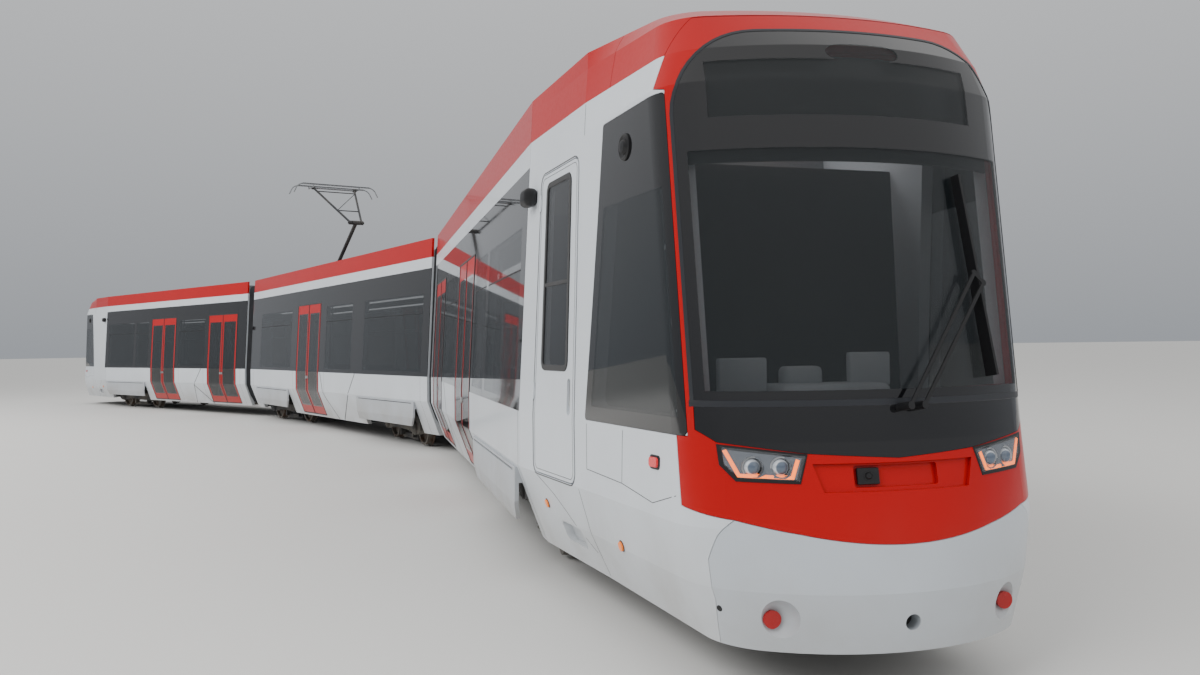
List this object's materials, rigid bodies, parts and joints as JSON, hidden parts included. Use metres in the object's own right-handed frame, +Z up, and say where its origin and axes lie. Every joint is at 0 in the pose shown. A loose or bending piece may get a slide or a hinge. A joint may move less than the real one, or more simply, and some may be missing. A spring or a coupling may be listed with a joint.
{
  "type": "articulated low-floor tram",
  "caption": "Double-ended articulated city tram on a curve, with low floor, swivelling bogies, folding bellows, cab doors and a raised pantograph.",
  "frame": {"origin": "middle of the footprint of the bent train, on the plane that the wheel flanges stand on", "axes": "+X along the centre car towards the front car, +Z up, the curve's inside towards -Y"},
  "size_m": [35.7089, 6.2268, 5.6228],
  "materials": {
    "body_white": "satin light grey-white paint",
    "body_red": "gloss red paint",
    "apron_grey": "satin light grey paint",
    "bumper_silver": "satin silver-grey paint",
    "dark_glass": "tinted safety glass with a black ceramic edge",
    "roof_grey": "matt grey paint",
    "floor_steel": "dark grey paint with a rubber floor covering",
    "bogie_grey": "dark grey paint, dusty",
    "wheel_steel": "worn steel",
    "bellows_rubber": "folded dark grey fabric-backed rubber",
    "seat_plastic": "moulded seat shells and cab fittings",
    "lamp_clear": "clear headlamp covers and reflectors",
    "wiper_black": "black painted arms and rubber blade",
    "mast_dark": "dark grey paint",
    "strip_aluminium": "aluminium head with worn carbon strips"
  },
  "bodies": {
    "centre_car": {"centre_floor": "floor_steel", "centre_walls": "body_white", "centre_roof": "roof_grey", "centre_fairing": "body_red", "centre_glazing": "dark_glass", "centre_doors": "body_red", "centre_aprons": "apron_grey", "centre_interior": "seat_plastic", "pantograph_base": "mast_dark", "front_bellows": "bellows_rubber", "rear_bellows": "bellows_rubber"},
    "front_car": {"front_floor": "floor_steel", "front_walls": "body_white", "front_roof": "roof_grey", "front_fairing": "body_red", "front_glazing": "dark_glass", "front_windscreen": "dark_glass", "front_doors": "body_red", "front_aprons": "apron_grey", "front_nose": "body_red", "front_bumper": "bumper_silver", "front_lamps": "lamp_clear", "front_wiper": "wiper_black", "front_interior": "seat_plastic"},
    "rear_car": {"rear_floor": "floor_steel", "rear_walls": "body_white", "rear_roof": "roof_grey", "rear_fairing": "body_red", "rear_glazing": "dark_glass", "rear_windscreen": "dark_glass", "rear_doors": "body_red", "rear_aprons": "apron_grey", "rear_nose": "body_red", "rear_bumper": "bumper_silver", "rear_lamps": "lamp_clear", "rear_wiper": "wiper_black", "rear_interior": "seat_plastic"},
    "front_bogie": {"front_bogie": "bogie_grey"},
    "front_wheelset_1": {"front_wheelset_1": "wheel_steel"},
    "front_wheelset_2": {"front_wheelset_2": "wheel_steel"},
    "centre_lead_bogie": {"centre_lead_bogie": "bogie_grey"},
    "centre_lead_wheelset_1": {"centre_lead_wheelset_1": "wheel_steel"},
    "centre_lead_wheelset_2": {"centre_lead_wheelset_2": "wheel_steel"},
    "centre_trail_bogie": {"centre_trail_bogie": "bogie_grey"},
    "centre_trail_wheelset_1": {"centre_trail_wheelset_1": "wheel_steel"},
    "centre_trail_wheelset_2": {"centre_trail_wheelset_2": "wheel_steel"},
    "rear_bogie": {"rear_bogie": "bogie_grey"},
    "rear_wheelset_1": {"rear_wheelset_1": "wheel_steel"},
    "rear_wheelset_2": {"rear_wheelset_2": "wheel_steel"},
    "front_cab_door": {"front_cab_door": "body_white", "front_cab_door_pane": "dark_glass"},
    "rear_cab_door": {"rear_cab_door": "body_white", "rear_cab_door_pane": "dark_glass"},
    "pantograph_lower_arm": {"pantograph_lower_arm": "mast_dark"},
    "pantograph_upper_arm": {"pantograph_upper_arm": "mast_dark"},
    "pantograph_head": {"pantograph_head": "strip_aluminium"}
  },
  "joints": [
    {"name": "front_articulation", "type": "hinge", "parent": "centre_car", "child": "front_car", "pos_m": [6.09858, 1.77938, 0.24], "axis": [0, 0, 1], "range_deg": [-5.4, 44.6], "deforming": ["front_bellows"]},
    {"name": "rear_articulation", "type": "hinge", "parent": "centre_car", "child": "rear_car", "pos_m": [-5.80142, 1.77938, 0.24], "axis": [0, 0, 1], "range_deg": [-39.4, 10.6], "deforming": ["rear_bellows"]},
    {"name": "front_bogie_pivot", "type": "hinge", "parent": "front_car", "child": "front_bogie", "pos_m": [13.39952, -0.82037, 0.3], "axis": [0, 0, 1], "range_deg": [-3.6, 12.4]},
    {"name": "front_axle_1", "type": "hinge", "parent": "front_bogie", "child": "front_wheelset_1", "pos_m": [14.22171, -1.18643, 0.332], "axis": [0.4067, 0.9135, 0], "continuous": true},
    {"name": "front_axle_2", "type": "hinge", "parent": "front_bogie", "child": "front_wheelset_2", "pos_m": [12.57733, -0.4543, 0.332], "axis": [0.4067, 0.9135, 0], "continuous": true},
    {"name": "centre_lead_bogie_pivot", "type": "hinge", "parent": "centre_car", "child": "centre_lead_bogie", "pos_m": [3.79858, 1.77938, 0.3], "axis": [0, 0, 1], "range_deg": [-1.6, 14.4]},
    {"name": "centre_lead_axle_1", "type": "hinge", "parent": "centre_lead_bogie", "child": "centre_lead_wheelset_1", "pos_m": [4.69297, 1.67906, 0.332], "axis": [0.1115, 0.9938, 0], "continuous": true},
    {"name": "centre_lead_axle_2", "type": "hinge", "parent": "centre_lead_bogie", "child": "centre_lead_wheelset_2", "pos_m": [2.90419, 1.87971, 0.332], "axis": [0.1115, 0.9938, 0], "continuous": true},
    {"name": "centre_trail_bogie_pivot", "type": "hinge", "parent": "centre_car", "child": "centre_trail_bogie", "pos_m": [-3.50142, 1.77938, 0.3], "axis": [0, 0, 1], "range_deg": [-12.7, 3.3]},
    {"name": "centre_trail_axle_1", "type": "hinge", "parent": "centre_trail_bogie", "child": "centre_trail_wheelset_1", "pos_m": [-2.60445, 1.85313, 0.332], "axis": [-0.0819, 0.9966, 0], "continuous": true},
    {"name": "centre_trail_axle_2", "type": "hinge", "parent": "centre_trail_bogie", "child": "centre_trail_wheelset_2", "pos_m": [-4.3984, 1.70564, 0.332], "axis": [-0.0819, 0.9966, 0], "continuous": true},
    {"name": "rear_bogie_pivot", "type": "hinge", "parent": "rear_car", "child": "rear_bogie", "pos_m": [-13.30794, -0.14796, 0.3], "axis": [0, 0, 1], "range_deg": [-11.1, 4.9]},
    {"name": "rear_axle_1", "type": "hinge", "parent": "rear_bogie", "child": "rear_wheelset_1", "pos_m": [-14.16629, -0.4186, 0.332], "axis": [0.3007, -0.9537, 0], "continuous": true},
    {"name": "rear_axle_2", "type": "hinge", "parent": "rear_bogie", "child": "rear_wheelset_2", "pos_m": [-12.4496, 0.12267, 0.332], "axis": [0.3007, -0.9537, 0], "continuous": true},
    {"name": "front_cab_door_hinge", "type": "hinge", "parent": "front_car", "child": "front_cab_door", "pos_m": [14.75716, -2.65976, 1.24], "axis": [-0.0177, -0.0498, -0.9986], "range_deg": [0, 85]},
    {"name": "rear_cab_door_hinge", "type": "hinge", "parent": "rear_car", "child": "rear_cab_door", "pos_m": [-15.46205, 0.61778, 1.24], "axis": [-0.0131, 0.0512, -0.9986], "range_deg": [0, 85]},
    {"name": "pantograph_raise", "type": "hinge", "parent": "centre_car", "child": "pantograph_lower_arm", "pos_m": [-2.70142, 1.77938, 3.61], "axis": [0, 1, 0], "range_deg": [-17, 29]},
    {"name": "pantograph_knee", "type": "hinge", "parent": "pantograph_lower_arm", "child": "pantograph_upper_arm", "pos_m": [-1.20859, 1.77938, 4.57946], "axis": [0, 1, 0], "range_deg": [-58, 34]},
    {"name": "pantograph_head_level", "type": "hinge", "parent": "pantograph_upper_arm", "child": "pantograph_head", "pos_m": [-2.70142, 1.77938, 5.54892], "axis": [0, 1, 0], "range_deg": [-17, 29]}
  ],
  "couplings": [
    {"joint": "pantograph_knee", "follows": "pantograph_raise", "ratio": -2},
    {"joint": "pantograph_head_level", "follows": "pantograph_raise", "ratio": 1}
  ]
}
